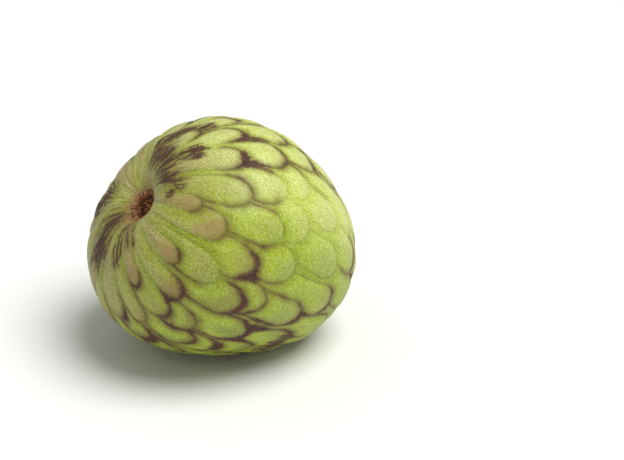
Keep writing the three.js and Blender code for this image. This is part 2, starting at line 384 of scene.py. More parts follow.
def body_distance(skin_rays, bearing, polar, shape):
    """The smooth body's distance from the middle: a round one that narrows with cos p, is flattened at the
    shoulders with cos 3p, is oval and leans, less a bell-shaped hollow at the stalk, plus the swellings."""
    distance = EQUATOR_RADIUS * (1 - shape.taper * np.cos(polar) - shape.shoulders * np.cos(3 * polar))
    oval = OVAL[0] * np.sin(polar) ** 2 * np.cos(2 * (bearing - radians(OVAL[1])))
    lean = LEAN[0] * np.sin(2 * polar) * np.cos(bearing - radians(LEAN[1]))
    distance = distance * (1 + oval + lean)
    distance -= shape.cavity_depth / MM * np.exp(-((polar / CAVITY_SPREAD) ** 2))
    for swell_bearing, swell_polar, spread, height in SWELLINGS:
        centre = rays(radians(swell_bearing), radians(swell_polar))
        away = np.arccos(np.clip(skin_rays @ centre, -1, 1)) / radians(spread)
        distance += height * np.exp(-away * away)
    return distance


def stub_middle():
    """Where the stub's axis is in the fruit's frame, as (x, y)."""
    distance, bearing = STUB_SHIFT
    return np.array([distance * math.cos(bearing), -distance * math.sin(bearing)])


def cavity_floor(shape):
    """Height of the cavity's floor on the fruit's axis."""
    return float(body_distance(rays(0.0, 0.0), 0.0, 0.0, shape))


def skin_surface(shape):
    """The whole skin as a grid of rings about the stalk, with the values that its material needs.

    Near the stalk the rings shift by a bell-shaped share, so that they run round the stub. The distance
    from the middle is the smooth body's, plus the scales' relief, plus fine ribs and ripples. The relief is
    0 in the grooves between scales. It rises as 1 - exp(-depth / rounding) from a scale's own edge, and as a
    slower smooth step from the scale above, and fades out towards the stalk. Under the stub the skin drops
    into a socket.
    """
    t = (np.arange(SKIN_RINGS) + 0.5)[:, None] / SKIN_RINGS
    polar = pi * (RING_CROWDING * t * t + (1 - RING_CROWDING) * t) + np.zeros(SKIN_SIDES)
    bearing = 2 * pi * np.arange(SKIN_SIDES)[None] / SKIN_SIDES + np.zeros((SKIN_RINGS, 1))
    skin_rays = rays(bearing, polar)
    gathered = np.exp(-((polar / GATHERED) ** 2))[..., None]
    skin_rays[..., :2] += stub_middle() / cavity_floor(shape) * gathered
    skin_rays = unit(skin_rays)
    polar = np.arccos(skin_rays[..., 2])
    bearing = np.arctan2(-skin_rays[..., 1], skin_rays[..., 0])

    warped = skin_rays.copy()
    for share, wavelength, seeds in WANDER:
        wander = np.stack([ripples(skin_rays, wavelength, seed) for seed in seeds], axis=-1)
        warped += shape.edge_wander / MM / LAYOUT_RADIUS * share * wander
    scales = make_scales(shape.spiral_scales)
    own, above, number = lay_scales(unit(warped), scales)
    edge = np.minimum(own, above)

    raised = (1 - np.exp(-own / EDGE_ROUNDING)) * smoothstep(0, ROOT_RAMP, above)
    cushion = CUSHION * smoothstep(0, BARE_DEPTH, edge)
    relief = shape.relief / MM * (raised + cushion) * smoothstep(*SCALED_FROM, polar)

    around = unit(skin_rays[..., :2])
    ribs = np.zeros(polar.shape)
    for share, rise, wavelength, seed in RIBS:
        on_cylinder = np.concatenate([RIB_CYLINDER * around, rise * polar[..., None]], axis=-1)
        ribs += share * ripples(on_cylinder, wavelength, seed)
    ribs *= smoothstep(*RIBS_BEGIN, polar) * (1 - smoothstep(*RIBS_END, polar))

    distance = body_distance(skin_rays, bearing, polar, shape) + relief + RIB_HEIGHT * ribs
    distance += ripples_of(skin_rays * LAYOUT_RADIUS, UNEVENNESS)
    points = skin_rays * distance[..., None]
    from_stub = np.linalg.norm(points[..., :2] - stub_middle(), axis=-1) - shape.stub_radius / MM
    at_stalk = polar < STALK_END
    points[..., 2] -= SOCKET_DEPTH * (1 - smoothstep(*SOCKET_WALL, from_stub)) * at_stalk

    strength, width = LIME_ON_TOP
    lime = np.maximum(strength * (1 - smoothstep(0, width, own)), 1 - smoothstep(*LIME_BELOW, above))
    tones = np.random.default_rng(TONE_SEED).uniform(-1, 1, len(scales))
    russet = tip_marks(skin_rays, scales[:, :3], scales[:, 3], *TIP_RUSSET)
    blush = tip_marks(skin_rays, scales[:, :3], scales[:, 4], *TIP_BLUSH)
    patches = strokes(skin_rays, RUSSET_STROKES + far_side_strokes())
    # How squarely the skin faces the key light. The rind uses this for its painted light and shade.
    facing_key = skin_rays @ rays(*KEY_LIT_SIDE)
    rim = (1 - smoothstep(*RIM_TAN, from_stub)) * at_stalk
    return {
        "points": points,
        "scale_edges": np.stack([edge, lime, smoothstep(*EXPOSED, above)], axis=-1),
        "scale_tints": np.stack([russet, blush, tones[number]], axis=-1),
        "skin_zones": np.stack([patches, facing_key, rim], axis=-1),
        "around_stalk": np.concatenate([around, polar[..., None]], axis=-1),
    }


class Seat:
    """Carries points from the fruit's frame, in mm, to the frame of the CAD part, in metres.

    The fruit is turned so that its stalk lies as the frame's does, is sized so that its length fills the CAD
    fruit's box, and is set with its box centred in that box and its top level with the box's top.
    """

    def __init__(self, skin_points):
        stalk = rays(-STALK_DIRECTION, pi / 2 - STALK_RISE)
        uphill = unit(np.array([0, 0, 1]) - stalk[2] * stalk)
        self.turn = np.stack([uphill, np.cross(stalk, uphill), stalk])
        low, high = (np.array(corner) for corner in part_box("fruit"))
        turned = skin_points.reshape(-1, 3) @ self.turn
        self.size = (high[0] - low[0]) / np.ptp(turned[:, 0])
        middle_of_box = (turned.min(axis=0) + turned.max(axis=0)) / 2 * self.size
        self.middle = (low + high) / 2 - middle_of_box
        self.middle[2] = high[2] - turned[:, 2].max() * self.size
        self.floor = low[2]

    def place(self, points):
        """Turned, sized and moved. What would lie below the floor is pressed up to it: a height h over the
        floor becomes max(h, 0), plus (1 - |h| / e)^2 * e / 4 within e of the floor, to round the edge."""
        placed = points @ self.turn * self.size + self.middle
        height = placed[..., 2] - self.floor
        lift = np.clip(1 - np.abs(height) / PRESSED_EDGE, 0, 1) ** 2 * PRESSED_EDGE / 4
        placed[..., 2] = self.floor + np.maximum(height, 0) + lift
        return placed


def tubes_mesh(name, rings, starts, ends):
    """A mesh of closed tubes. rings is an array (tubes, rings, sides, 3). A fan closes each tube at its
    start and at its end point. The sides of a ring run clockwise as seen from the tube's start, so that the
    faces point out."""
    tubes, count, sides = rings.shape[:3]
    points = np.concatenate([starts[:, None], rings.reshape(tubes, -1, 3), ends[:, None]], axis=1)
    here = 1 + np.arange(count * sides).reshape(count, sides)
    beside = np.roll(here, -1, axis=1)
    quads = np.stack([here[:-1], beside[:-1], beside[1:], here[1:]], axis=-1).reshape(-1, 4)
    first = np.stack([0 * here[0], beside[0], here[0]], axis=-1)
    last = np.stack([0 * here[0] + count * sides + 1, here[-1], beside[-1]], axis=-1)
    step = (np.arange(tubes) * points.shape[1])[:, None, None]
    faces = (quads + step).reshape(-1, 4).tolist()
    faces += (np.concatenate([first, last]) + step).reshape(-1, 3).tolist()
    mesh = bpy.data.meshes.new(name)
    mesh.from_pydata(points.reshape(-1, 3), [], faces)
    mesh.polygons.foreach_set("use_smooth", np.ones(len(mesh.polygons), bool))
    mesh.update()
    return mesh


def set_attribute(mesh, name, values):
    """A vector for every vertex. values is (tubes, rings, sides, 3), and the two ends of a tube take the
    mean of the ring beside them. Where a material needs only two values, the third is 0."""
    first = values[:, 0].mean(axis=1)[:, None]
    last = values[:, -1].mean(axis=1)[:, None]
    whole = np.concatenate([first, values.reshape(len(values), -1, 3), last], axis=1)
    attribute = mesh.attributes.new(name, "FLOAT_VECTOR", "POINT")
    attribute.data.foreach_set("vector", whole.astype(np.float32).ravel())


def add_object(mesh, material):
    """Links a mesh to the scene as an object at the origin, in place of one of the same name."""
    old = bpy.data.objects.get(mesh.name)
    if old:
        bpy.data.objects.remove(old)
    piece = bpy.data.objects.new(mesh.name, mesh)
    mesh.materials.append(material)
    bpy.context.scene.collection.objects.link(piece)
    return piece


def add_node(tree, kind, inputs=None, **settings):
    """Adds a shader node with its settings and links, and gives its outputs. inputs holds a value, or
    another node's output, for a socket's name or number."""
    node = tree.nodes.new("ShaderNode" + kind)
    for name, value in settings.items():
        setattr(node, name, value)
    for socket, value in (inputs or {}).items():
        if isinstance(value, bpy.types.NodeSocket):
            tree.links.new(value, node.inputs[socket])
        else:
            node.inputs[socket].default_value = value
    return node.outputs


def new_material(name):
    """An empty node material and its tree."""
    material = bpy.data.materials.new(name)
    material.use_nodes = True
    material.node_tree.nodes.clear()
    return material, material.node_tree


def rgba(colour):
    """A colour property as the four values that a shader's socket takes."""
    return (*colour, 1.0)


def skin_material(colours):
    """Custard apple rind: a matt, finely grained plant skin, grown as overlapping scales.

    Each scale is fresh yellow green where it comes out from under the scale above, and sage or duller green
    on its back. The grooves are lime, with a thin olive line of painted shade at their bottoms. In places
    they have turned to russet, which is corky, dark and dull, with a crumbling border. Around the stalk the
    colour runs in streaks. The upper side, where the key light falls, is painted paler as painted light, and
    the side away from it deeper green as painted shade.
    """
    material, tree = new_material("custard_apple_rind_grown")
    node = partial(add_node, tree)
    place = node("TexCoord")["Object"]
    edges = node("Attribute", attribute_name="scale_edges")["Vector"]
    tints = node("Attribute", attribute_name="scale_tints")["Vector"]
    zones = node("Attribute", attribute_name="skin_zones")["Vector"]
    round_stalk = node("Attribute", attribute_name="around_stalk")["Vector"]
    edge, lime, exposed = node("SeparateXYZ", {0: edges})
    russet, blush, tone = node("SeparateXYZ", {0: tints})
    patch, facing_key, rim = node("SeparateXYZ", {0: zones})
    # Painted light and shade: the first mask rises where the skin faces the key light, and the second where
    # it faces away from it.
    key_lit = node("MapRange", {0: facing_key, 1: 0.3, 2: 0.72}, **SMOOTH)[0]
    key_shaded = node("MapRange", {0: facing_key, 1: 0.0, 2: -0.6}, **SMOOTH)[0]
    polar = node("SeparateXYZ", {0: round_stalk})[2]
    near_stalk = {0: polar, 1: SAGE_ZONE[0], 2: SAGE_ZONE[1], 3: 1.0, 4: 0.0}
    sage = node("MapRange", near_stalk, **SMOOTH)[0]

    # Noises: the pores and hairs, the mottling of a scale, clouds of colour, the crumbs of the russet, and
    # streaks that run out from the stalk.
    grain, mottle, cloud, crumbs = (
        node("TexNoise", {"Vector": place, "Scale": 1 / size / MM, "Detail": detail, "Roughness": rough})[0]
        for size, detail, rough in (GRAIN, MOTTLE, CLOUDS, CRUMBS)
    )
    stretched = node("Mapping", {"Vector": round_stalk, "Scale": (1, 1, STREAK_STRETCH)})[0]
    streaks = node("TexNoise", {"Vector": stretched, "Scale": STREAKS, "Detail": 4.0, "Roughness": 0.65})[0]

    # The green of each scale: fresh under the scale above and sage on its back. Where the key light falls it
    # is painted paler, as painted light, and away from it deeper green, as painted shade.
    fresh = node("Mix", {0: key_lit, 6: rgba(colours.fresh), 7: rgba(colours.key_lit_fresh)}, **COLOURED)[2]
    green = node("Mix", {0: key_shaded, 6: rgba(colours.green), 7: rgba(colours.key_shaded_green)}, **COLOURED)[2]
    back = node("Mix", {0: sage, 6: green, 7: rgba(colours.sage)}, **COLOURED)[2]
    lit_paling = node("Math", {0: key_lit, 1: 0.85}, **TIMES)[0]
    back = node("Mix", {0: lit_paling, 6: back, 7: rgba(colours.pale)}, **COLOURED)[2]
    age = exposed
    for part, weight in ((mottle, 0.9), (cloud, 0.8), (tone, 0.2)):
        age = node("Math", {0: part, 1: weight, 2: age}, **TIMES_PLUS)[0]
    age = node("MapRange", {0: age, 1: 0.85, 2: 1.85}, **SMOOTH)[0]
    muted = node("Math", {0: sage, 1: 0.55}, **TIMES)[0]
    age = node("Math", {0: age, 1: muted}, operation="MAXIMUM")[0]
    colour = node("Mix", {0: age, 6: fresh, 7: back}, **COLOURED)[2]

    # Lime along the grooves, wider on the side of the lower scale. It comes and goes.
    scaled = node("MapRange", {0: polar, 1: LINED_FROM[0], 2: LINED_FROM[1]})[0]
    presence = node("MapRange", {0: cloud, 1: 0.35, 2: 0.6, 3: 0.55})[0]
    share = lime
    for part in (scaled, presence):
        share = node("Math", {0: share, 1: part}, **TIMES)[0]
    # Painted light: the lime is paler where the key light falls.
    groove = node("Mix", {0: key_lit, 6: rgba(colours.lime), 7: rgba(colours.key_lit_lime)}, **COLOURED)[2]
    colour = node("Mix", {0: share, 6: colour, 7: groove}, **COLOURED)[2]

    # Painted shade: a thin olive line at the bottom of the groove, strong on the side away from the key
    # light and faint where it falls.
    line = node("MapRange", {0: edge, 1: 0.1, 2: 0.75, 3: 1.0, 4: 0.0}, **SMOOTH)[0]
    strength = node("MapRange", {0: key_lit, 3: 0.5, 4: 0.1})[0]
    broken = node("MapRange", {0: mottle, 1: 0.36, 2: 0.58, 3: 0.35})[0]
    for part in (strength, broken, scaled):
        line = node("Math", {0: line, 1: part}, **TIMES)[0]
    colour = node("Mix", {0: line, 6: colour, 7: rgba(colours.olive)}, **COLOURED)[2]

    # Streaks around the stalk, light and dark, and the tan of its rim.
    near = node("MapRange", {0: polar, 1: STREAKED_TO[0], 2: STREAKED_TO[1], 3: 0.75, 4: 0.08})[0]
    light = node("MapRange", {0: streaks, 1: 0.49, 2: 0.64}, **SMOOTH)[0]
    light = node("Math", {0: light, 1: near}, **TIMES)[0]
    colour = node("Mix", {0: light, 6: colour, 7: rgba(colours.straw)}, **COLOURED)[2]
    dark = node("MapRange", {0: streaks, 1: 0.47, 2: 0.33}, **SMOOTH)[0]
    dark = node("Math", {0: dark, 1: near}, **TIMES)[0]
    colour = node("Mix", {0: dark, 6: colour, 7: rgba(colours.halo)}, **COLOURED)[2]
    tanned = node("Math", {0: streaks, 1: 1.2, 2: -0.45}, **TIMES_PLUS)[0]
    tanned = node("Math", {0: tanned, 1: rim}, operation="ADD")[0]
    tanned = node("MapRange", {0: tanned, 1: 0.35, 2: 1.1, 4: 0.85})[0]
    colour = node("Mix", {0: tanned, 6: colour, 7: rgba(colours.rim_tan)}, **COLOURED)[2]

    # Blush on the tips, in specks.
    specks = node("Math", {0: mottle, 1: 0.4, 2: grain}, **TIMES_PLUS)[0]
    specks = node("MapRange", {0: specks, 1: 0.55, 2: 0.82, 3: 0.2, 4: 0.75}, **SMOOTH)[0]
    specks = node("Math", {0: specks, 1: blush}, **TIMES)[0]
    colour = node("Mix", {0: specks, 6: colour, 7: rgba(colours.blush)}, **COLOURED)[2]

    # Grain. Its bright specks are paler and its dark ones are greener.
    value = node("Math", {0: grain, 1: 1.3, 2: 0.35}, **TIMES_PLUS)[0]
    fullness = node("Math", {0: grain, 1: -0.9, 2: 1.45}, **TIMES_PLUS)[0]
    colour = node("HueSaturation", {"Saturation": fullness, "Value": value, "Color": colour})[0]

    # Russet along the grooves, as wide as the crumbs and its strength allow, with an olive halo.
    width = node("Math", {0: crumbs, 1: 3.6, 2: -0.5}, **TIMES_PLUS)[0]
    thickness = node("MapRange", {0: cloud, 1: 0.4, 2: 0.6, 3: 0.1, 4: 1.35})[0]
    for part in (russet, thickness):
        width = node("Math", {0: width, 1: part}, **TIMES)[0]
    depth = node("Math", {0: width, 1: edge}, operation="SUBTRACT")[0]
    present = node("MapRange", {0: russet, 1: 0.12, 2: 0.35}, **SMOOTH)[0]
    halo = node("MapRange", {0: depth, 1: -2.6, 2: 0.3, 4: 0.7}, **SMOOTH)[0]
    halo = node("Math", {0: halo, 1: present}, **TIMES)[0]
    dotted = node("Math", {0: grain, 1: 2.0, 2: -1.0}, **TIMES_PLUS)[0]
    depth = node("Math", {0: depth, 1: dotted}, operation="ADD")[0]
    core = node("MapRange", {0: depth, 1: -0.6, 2: 0.9}, **SMOOTH)[0]
    core = node("Math", {0: core, 1: present}, **TIMES)[0]

    # Russet patches, drawn out along the streaks.
    blotch = 0.0
    for part, weight in ((patch, 0.6), (streaks, 1.9), (crumbs, 0.7), (grain, 0.6)):
        blotch = node("Math", {0: part, 1: weight, 2: blotch}, **TIMES_PLUS)[0]
    reached = node("MapRange", {0: patch, 1: 0.05, 2: 0.3})[0]
    stain = node("MapRange", {0: blotch, 1: 1.58, 2: 2.1, 4: 0.65}, **SMOOTH)[0]
    stain = node("Math", {0: stain, 1: reached}, **TIMES)[0]
    blotch = node("MapRange", {0: blotch, 1: 1.84, 2: 2.16, 4: 0.95}, **SMOOTH)[0]
    blotch = node("Math", {0: blotch, 1: reached}, **TIMES)[0]
    halo = node("Math", {0: halo, 1: stain}, operation="MAXIMUM")[0]
    colour = node("Mix", {0: halo, 6: colour, 7: rgba(colours.halo)}, **COLOURED)[2]
    corky = node("Math", {0: core, 1: blotch}, operation="MAXIMUM")[0]
    cork = node("MapRange", {0: crumbs, 1: 0.38, 2: 0.62})[0]
    cork = node("Mix", {0: cork, 6: rgba(colours.russet_dark), 7: rgba(colours.russet)}, **COLOURED)[2]
    colour = node("Mix", {0: corky, 6: colour, 7: cork}, **COLOURED)[2]

    # The grain and the streaks are slightly raised, and the russet is rough.
    furrows = node("Math", {0: streaks, 1: near}, **TIMES)[0]
    height = node("Math", {0: grain, 1: 0.12, 2: furrows}, **TIMES_PLUS)[0]
    scabs = node("Math", {0: corky, 1: crumbs}, **TIMES)[0]
    height = node("Math", {0: scabs, 1: 0.25, 2: height}, **TIMES_PLUS)[0]
    bump = node("Bump", {"Strength": 0.6, "Distance": MM, "Height": height})[0]
    roughness = node("Math", {0: corky, 1: 0.3, 2: 0.5}, **TIMES_PLUS)[0]
    surface = {"Base Color": colour, "Roughness": roughness, "Normal": bump, "IOR": 1.42}
    node("OutputMaterial", {"Surface": node("BsdfPrincipled", surface)[0]})
    return material


def stub_surface(shape):
    """The stalk's end as a cup with a torn rim: a profile carried round the stalk.

    The profile goes from the foot's middle out, up the outer wall, over the rim and down to the hollow's
    floor. Ridges run up the walls. The rim is torn up and down, and in and out, and on one side a flap of it
    stands out. All of that fades out from the rim to the level of the hollow's floor. At last the height
    falls towards the low side.
    """
    angle = -2 * pi * np.arange(STUB_SIDES) / STUB_SIDES
    radius, top = shape.stub_radius / MM, shape.stub_height / MM
    wall, hollow = shape.stub_wall / MM, shape.stub_hollow / MM
    corners = np.array(
        [
            (STUB_CENTRE, 0),
            (radius - 0.6, 0),  # the foot's edge, bevelled
            (radius, 0.8),
            (radius + 0.1, top - 0.5),  # the top of the outer wall, and the rim
            (radius - 0.3, top),
            (radius - wall + 0.3, top - 0.1),
            (radius - wall, top - 0.8),  # the wall of the hollow
            (radius - wall - 0.6, top - hollow + 0.3),
            (radius - wall - 1.2, top - hollow),
            (STUB_CENTRE, top - hollow),
        ]
    )
    steps = np.concatenate([[0], np.cumsum(np.linalg.norm(np.diff(corners, axis=0), axis=1))])
    rim_outside, rim_inside, hollow_foot = steps[4], steps[5], steps[7]
    along = np.linspace(0, steps[-1], STUB_RINGS)
    reach = np.interp(along, steps, corners[:, 0])[:, None]
    height = np.interp(along, steps, corners[:, 1])[:, None]
    ring = np.stack([np.cos(angle), np.sin(angle), 0 * angle], axis=-1)
    stretched = np.stack([0 * height, 0 * height, WOOD_STRETCH * height], axis=-1)
    lengthwise = WOOD_CYLINDER * ring[None] + stretched
    ridges = ripples_of(lengthwise, WOOD_RIDGES)
    torn = ripples_of(WOOD_CYLINDER * ring, TEARS)
    from_flap = np.angle(np.exp(1j * (-angle - FLAP_BEARING)))
    flap = np.exp(-((from_flap / FLAP_SPREAD) ** 2))
    near_rim = smoothstep(top - hollow, top, height)
    outside = 1 - smoothstep(rim_outside, rim_inside, along)[:, None]
    reach = reach + near_rim * (RIDGE_HEIGHT * ridges + FLAP_REACH * flap * outside + TORN_REACH * torn)
    height = height + near_rim * (shape.stub_tear / MM * torn + FLAP_RISE * flap)
    slant = shape.stub_slant / MM * reach / radius * np.cos(-angle - STUB_LOW_SIDE)
    height = height - slant * height / top
    points = np.stack([reach * ring[..., 0], reach * ring[..., 1], height], axis=-1)
    # How far down into the hole. The wood's material paints the wood dark there, partly as painted shade.
    inside = smoothstep(rim_inside, hollow_foot, along)[:, None] + 0 * reach
    return points, np.stack([ridges, inside, 0 * reach], axis=-1), lengthwise


def fibre_surfaces(shape):
    """Torn fibres as tapered flat rods, one tube each: the middle line is start + t * (end - start), with a
    bend of t * (1 - t), and the half width shrinks from the foot to the tip. Some stand on the rim, and the
    rest lie across the hollow."""
    rng = np.random.default_rng(FIBRE_SEED)
    count = shape.fibre_count
    radius, top = shape.stub_radius / MM, shape.stub_height / MM
    wall, hollow = shape.stub_wall / MM, shape.stub_hollow / MM
    angle = rng.uniform(0, 2 * pi, count)
    inner = radius - wall
    at_rim = rng.uniform(size=count) < FIBRES_AT_RIM
    on_rim = inner + rng.uniform(0, wall * RIM_BAND, count)
    in_hollow = inner * np.sqrt(rng.uniform(*FLOOR_SPAN, count))
    foot_reach = np.where(at_rim, on_rim, in_hollow)
    slope = -shape.stub_slant / MM * foot_reach / radius * np.cos(angle - STUB_LOW_SIDE)
    foot_height = np.where(at_rim, top - RIM_FOOT + slope, top - hollow - FLOOR_FOOT)
    foot = np.stack([foot_reach * np.cos(angle), -foot_reach * np.sin(angle), foot_height], axis=-1)

    inwards = angle + rng.normal(pi, RIM_SCATTER, count)
    turned = np.where(at_rim, inwards, rng.uniform(0, 2 * pi, count))
    slant = np.where(at_rim, rng.uniform(*RIM_REACH, count), rng.uniform(*FLOOR_REACH, count))
    low, high = FLOOR_RISE
    rise = np.where(at_rim, rng.uniform(*RIM_RISE, count), rng.uniform(low, hollow + high, count))
    tip = foot + np.stack([slant * np.cos(turned), -slant * np.sin(turned), rise], axis=-1)
    half_width = rng.uniform(*FIBRE_HALF_WIDTHS, count)
    t = np.linspace(0, 1, FIBRE_RINGS)[None, :, None]
    bend = rng.normal(0, FIBRE_BEND, (count, 1, 3))
    line = foot[:, None] + t * (tip - foot)[:, None] + bend * t * (1 - t)

    forward = unit(tip - foot)
    across = unit(np.cross(forward, rng.normal(size=(count, 3))))
    through = FIBRE_FLATNESS * np.cross(forward, across)
    corner = (2 * pi * np.arange(FIBRE_SIDES) / FIBRE_SIDES)[:, None]
    section = across[:, None, None] * np.cos(corner) + through[:, None, None] * np.sin(corner)
    taper = half_width[:, None, None, None] * (1 - FIBRE_THINNING * t[..., None])
    rods = line[:, :, None] + taper * section
    tone = np.broadcast_to(rng.uniform(size=(count, 1, 1, 1)), rods.shape[:3] + (1,))
    shade = np.concatenate([tone, np.broadcast_to(t[..., None], tone.shape), 0 * tone], axis=-1)
    return rods, foot, tip, shade


def wood_material(colours):
    """Dry stalk wood, torn across: matt, with tan fibres on the outer wall and the rim. Down in the hole it
    is dark brown streaked with near black, partly its own colour and partly painted shade, and the furrows
    between its ridges are painted darker as painted shade."""
    material, tree = new_material("stalk_wood_torn")
    node = partial(add_node, tree)
    shade = node("Attribute", attribute_name="wood_shade")["Vector"]
    along = node("Attribute", attribute_name="wood_grain")["Vector"]
    ridges, inside, _ = node("SeparateXYZ", {0: shade})
    streaks = node("TexNoise", {"Vector": along, "Scale": WOOD_FIBRES, "Detail": 5.0, "Roughness": 0.7})[0]
    share = node("MapRange", {0: streaks, 1: 0.35, 2: 0.62}, **SMOOTH)[0]
    outer = node("Mix", {0: share, 6: rgba(colours.wood_brown), 7: rgba(colours.stalk_tan)}, **COLOURED)[2]
    share = node("MapRange", {0: streaks, 1: 0.42, 2: 0.7}, **SMOOTH)[0]
    inner = node("Mix", {0: share, 6: rgba(colours.wood_dark_and_shade), 7: rgba(colours.wood_brown)}, **COLOURED)[2]
    # Partly painted shade: from the outer tan to the dark brown down in the hole.
    colour = node("Mix", {0: inside, 6: outer, 7: inner}, **COLOURED)[2]
    # Painted shade: darker in the furrows between the ridges.
    furrow_shade = node("MapRange", {0: ridges, 1: -0.2, 2: -1.2, 4: 0.7}, **SMOOTH)[0]
    colour = node("Mix", {0: furrow_shade, 6: colour, 7: rgba(colours.wood_dark_and_shade)}, **COLOURED)[2]
    bump = node("Bump", {"Strength": 0.8, "Distance": 0.4 * MM, "Height": streaks})[0]
    surface = {"Base Color": colour, "Roughness": 0.85, "Normal": bump, "IOR": 1.5}
    node("OutputMaterial", {"Surface": node("BsdfPrincipled", surface)[0]})
    return material


def fibre_material(colours):
    """Torn wood fibres: dry and matt. Each has its own brown, and is lighter at its thin tip."""
    material, tree = new_material("stalk_fibres_torn")
    node = partial(add_node, tree)
    shade = node("Attribute", attribute_name="wood_shade")["Vector"]
    tone, along, _ = node("SeparateXYZ", {0: shade})
    brown = {0: tone, 6: rgba(colours.fibre_brown), 7: rgba(colours.fibre_orange)}
    colour = node("Mix", brown, **COLOURED)[2]
    lift = node("Math", {0: along, 1: 0.3}, **TIMES)[0]
    colour = node("Mix", {0: lift, 6: colour, 7: rgba(colours.stalk_tan)}, **COLOURED)[2]
    surface = {"Base Color": colour, "Roughness": 0.75, "IOR": 1.5}
    node("OutputMaterial", {"Surface": node("BsdfPrincipled", surface)[0]})
    return material


def millimetres(name, description, default):
    """A length property, with its default given in millimetres."""
    return bpy.props.FloatProperty(
        name=name,
        description=description,
        default=default * MM,
        precision=4,
        subtype="DISTANCE",
        unit="LENGTH",
    )


def colour_property(name, description, code):
    """A colour property, with its default given as sRGB hex."""
    return bpy.props.FloatVectorProperty(
        name=name, description=description, default=hex_colour(code), size=3, min=0, max=1, subtype="COLOR"
    )


class CustardAppleShape(bpy.types.PropertyGroup):
    """Sizes of the fruit and of its stalk's end."""

    taper: bpy.props.FloatProperty(
        name="Taper",
        description="How much the fruit narrows to the blossom end",
        default=0.14,
        subtype="FACTOR",
    )
    shoulders: bpy.props.FloatProperty(
        name="Shoulders", description="How flat the shoulders are", default=0.066, subtype="FACTOR"
    )
    cavity_depth: millimetres("Cavity depth", "Depth of the hollow around the stalk", 8)
    relief: millimetres("Relief", "How far a scale stands out of its groove", 0.58)
    edge_wander: millimetres("Edge wander", "How far a scale's edge strays from its tidy outline", 0.45)
    spiral_scales: bpy.props.IntProperty(
        name="Spiral scales", description="Scales laid out on the spiral", default=104, min=20, max=400
    )
    stub_radius: millimetres("Stub radius", "Outer radius of the stalk's end", 7.4)
    stub_height: millimetres("Stub height", "Height of the stalk's end above its foot", 5.5)
    stub_wall: millimetres("Stub wall", "Thickness of the torn rim", 2)
    stub_hollow: millimetres("Stub hollow", "Depth of the hole in the stalk's end", 3.8)
    stub_tear: millimetres("Stub tear", "How unevenly the rim is torn", 0.7)
    stub_slant: millimetres("Stub slant", "How far the rim falls from its middle to its low side", 2)
    fibre_count: bpy.props.IntProperty(
        name="Fibres", description="Torn fibres on and in the stalk's end", default=80, min=1, max=400
    )


class CustardAppleColours(bpy.types.PropertyGroup):
    """Colours of the rind and the stalk."""

    sage: colour_property("Sage", "Backs of the scales near the stalk", "#A59B5A")
    green: colour_property("Green", "Backs of the other scales", "#9BA745")
    # Painted shade: a deeper copy of the green, on the side away from the key light.
    key_shaded_green: colour_property("Deep green", "The same, on the side away from the sun", "#848E36")
    # Painted light: a paler copy of the backs, where the key light falls.
    pale: colour_property("Pale green", "Backs of the scales on the sunny side", "#CBD17C")
    fresh: colour_property("Fresh green", "Skin just out from under a scale", "#A5B635")
    # Painted light: a paler copy of the fresh green, where the key light falls.
    key_lit_fresh: colour_property("Sunlit green", "The same, on the sunny side", "#C9D474")
    lime: colour_property("Lime", "Along the grooves", "#8C9F18")
    # Painted light: a paler copy of the lime, where the key light falls.
    key_lit_lime: colour_property("Sunlit lime", "The same, on the sunny side", "#B7C54C")
    # Painted shade: the dark line at the bottoms of the grooves.
    olive: colour_property("Olive", "Bottoms of the grooves", "#5F611C")
    straw: colour_property("Straw", "Pale streaks around the stalk", "#B9B27A")
    blush: colour_property("Blush", "Specks on the scales' tips", "#9E6849")
    halo: colour_property("Halo", "Around the russet", "#7A6A2C")
    russet: colour_property("Russet", "Corky brown", "#5E3D30")
    russet_dark: colour_property("Dark russet", "Darkest corky brown", "#36201C")
    rim_tan: colour_property("Rim tan", "Skin where the stalk comes out of it", "#A08050")
    stalk_tan: colour_property("Stalk tan", "Rim of the torn stalk", "#B98A5A")
    wood_brown: colour_property("Wood brown", "Wood inside the stalk", "#5A2E16")
    # Partly painted shade: the near black down in the hole and in the furrows.
    wood_dark_and_shade: colour_property("Dark wood", "Bottom of the hole in the stalk", "#200C08")
    fibre_brown: colour_property("Fibre brown", "Darkest torn fibres", "#6A3416")
    fibre_orange: colour_property("Fibre orange", "Lightest torn fibres", "#C87A44")


class CustardAppleStage(bpy.types.PropertyGroup):
    """The plain studio."""

    elevation: bpy.props.FloatProperty(
        name="Elevation",
        description="How far the camera looks down",
        default=radians(25),
        subtype="ANGLE",
        unit="ROTATION",
    )
    distance: millimetres("Distance", "From the camera to the fruit's middle", 900)
    aside: millimetres("Aside", "How far right of the fruit's middle the camera aims", 36.5)
    above: millimetres("Above", "How far above the fruit's middle the camera aims", 2.6)
    lens: bpy.props.FloatProperty(
        name="Lens",
        description="Focal length on a 36 mm sensor, in mm",
        default=129.8,
        subtype="DISTANCE_CAMERA",
    )
    floor_colour: colour_property("Floor", "Plain pale floor", "#F2F2F0")
    key_strength: bpy.props.FloatProperty(
        name="Key light",
        description="Strength of the large soft light, in watts per square metre",
        default=2.8,
    )
    sky: bpy.props.FloatProperty(name="Sky", description="Strength of the white surroundings", default=0.37)


class CUSTARD_APPLE_OT_fruit(bpy.types.Operator):
    """Makes the whole fruit with its scaled rind, in place of the plain CAD fruit"""

    bl_idname = "custard_apple.fruit"
    bl_label = "Make fruit"

    def execute(self, context):
        skin = skin_surface(context.scene.custard_apple_shape)
        seat = Seat(skin["points"])
        points = seat.place(skin.pop("points"))[None]
        mesh = tubes_mesh("fruit_rind", points, points[:, 0].mean(axis=1), points[:, -1].mean(axis=1))
        for name, values in skin.items():
            set_attribute(mesh, name, values[None])
        rind = add_object(mesh, skin_material(context.scene.custard_apple_colours))
        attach(rind, "root")
        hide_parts("fruit")
        return {"FINISHED"}


